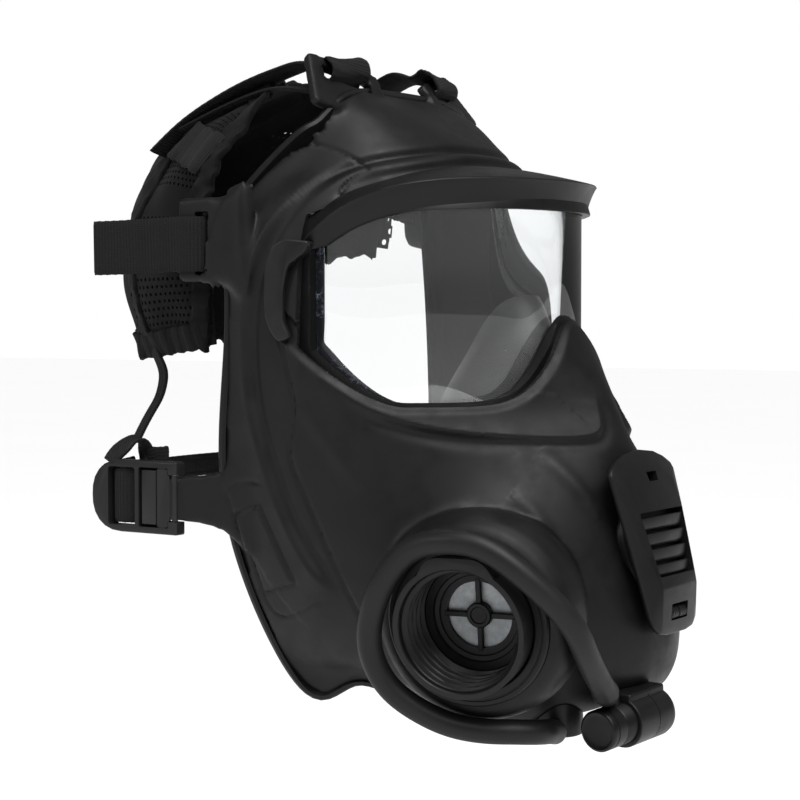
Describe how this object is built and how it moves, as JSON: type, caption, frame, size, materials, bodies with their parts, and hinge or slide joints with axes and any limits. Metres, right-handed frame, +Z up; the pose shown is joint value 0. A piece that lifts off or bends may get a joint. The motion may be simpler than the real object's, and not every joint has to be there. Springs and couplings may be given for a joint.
{
  "type": "full face respirator",
  "caption": "Rubber full face mask with a wide clear visor, a cheek inlet port, a louvred exhale cover, a drinking tube and a mesh head harness.",
  "frame": {"origin": "centre of the face opening at eye level, in the plane of the face seal's rear edge, as a head holds the mask", "axes": "+X the wearer's left, +Y out of the back of the mask towards the head, +Z up"},
  "size_m": [0.1753, 0.2316, 0.2391],
  "materials": {
    "rubber": "matte moulded",
    "plastic": "satin",
    "satin": "satin",
    "clear": "clear",
    "valve": "matte",
    "webbing": "ribbed webbing",
    "mesh": "open mesh with bound edges",
    "steel": "brushed"
  },
  "bodies": {
    "mask": {"facepiece": "rubber", "visor_lens": "clear", "lens_gasket": "plastic", "brow_peak": "rubber", "temple_clip_right": "satin", "temple_clip_left": "satin", "nose_cup": "rubber", "nose_cup_valve_seat_right": "plastic", "nose_cup_valve_seat_left": "plastic", "inlet_port_right": "plastic", "clamp_ring_right": "plastic", "inlet_valve_seat_right": "plastic", "exhale_valve_body": "plastic", "speech_diaphragm": "steel", "drink_connector": "plastic", "chin_clip": "plastic", "drinking_tube": "rubber", "drink_inlet": "plastic", "mouth_tube": "rubber", "temple_strap_right": "webbing", "temple_strap_left": "webbing", "top_strap_right": "webbing", "top_strap_left": "webbing", "lower_strap_right": "webbing", "lower_strap_left": "webbing", "neck_strap_right": "webbing", "neck_strap_left": "webbing", "head_harness": "mesh"},
    "inlet_valve": {"inlet_valve_disc_right": "valve"},
    "exhale_valve": {"exhale_valve_disc": "valve"},
    "cup_valve_right": {"nose_cup_valve_disc_right": "valve"},
    "cup_valve_left": {"nose_cup_valve_disc_left": "valve"},
    "cover": {"exhale_cover": "plastic", "cover_latch": "plastic"},
    "tube_cap": {"connector_cap": "plastic"},
    "buckle_right": {"buckle_frame_right": "plastic", "buckle_pin_right": "steel", "buckle_webbing_right": "webbing"},
    "cam_bar_right": {"buckle_cam_bar_right": "plastic"},
    "buckle_left": {"buckle_frame_left": "plastic", "buckle_pin_left": "steel", "buckle_webbing_left": "webbing"},
    "cam_bar_left": {"buckle_cam_bar_left": "plastic"}
  },
  "joints": [
    {"name": "inlet_valve_lift", "type": "slide", "parent": "mask", "child": "inlet_valve", "axis": [0.974, 0.178, 0.14], "range_m": [0, 0.002], "stiffness_N_per_m": 20},
    {"name": "exhale_valve_lift", "type": "slide", "parent": "mask", "child": "exhale_valve", "axis": [0, -0.9713, 0.2381], "range_m": [0, 0.002], "stiffness_N_per_m": 20},
    {"name": "cup_valve_lift_right", "type": "slide", "parent": "mask", "child": "cup_valve_right", "axis": [0.9439, 0.3304, 0], "range_m": [0, 0.0015], "stiffness_N_per_m": 20},
    {"name": "cup_valve_lift_left", "type": "slide", "parent": "mask", "child": "cup_valve_left", "axis": [-0.9439, 0.3304, 0], "range_m": [0, 0.0015], "stiffness_N_per_m": 20},
    {"name": "cover_pull", "type": "slide", "parent": "mask", "child": "cover", "axis": [0, -0.9713, 0.2381], "range_m": [0, 0.025]},
    {"name": "cap_pull", "type": "slide", "parent": "mask", "child": "tube_cap", "axis": [-0.9878, 0.1419, -0.064], "range_m": [0, 0.012]},
    {"name": "buckle_swing_right", "type": "hinge", "parent": "mask", "child": "buckle_right", "pos_m": [-0.0746, 0.021, -0.069], "axis": [0, 0, 1], "range_deg": [-8, 35]},
    {"name": "cam_slide_right", "type": "slide", "parent": "buckle_right", "child": "cam_bar_right", "axis": [0, 1, 0], "range_m": [0, 0.0008]},
    {"name": "buckle_swing_left", "type": "hinge", "parent": "mask", "child": "buckle_left", "pos_m": [0.0746, 0.021, -0.069], "axis": [0, 0, -1], "range_deg": [-8, 35]},
    {"name": "cam_slide_left", "type": "slide", "parent": "buckle_left", "child": "cam_bar_left", "axis": [0, 1, 0], "range_m": [0, 0.0008]}
  ]
}
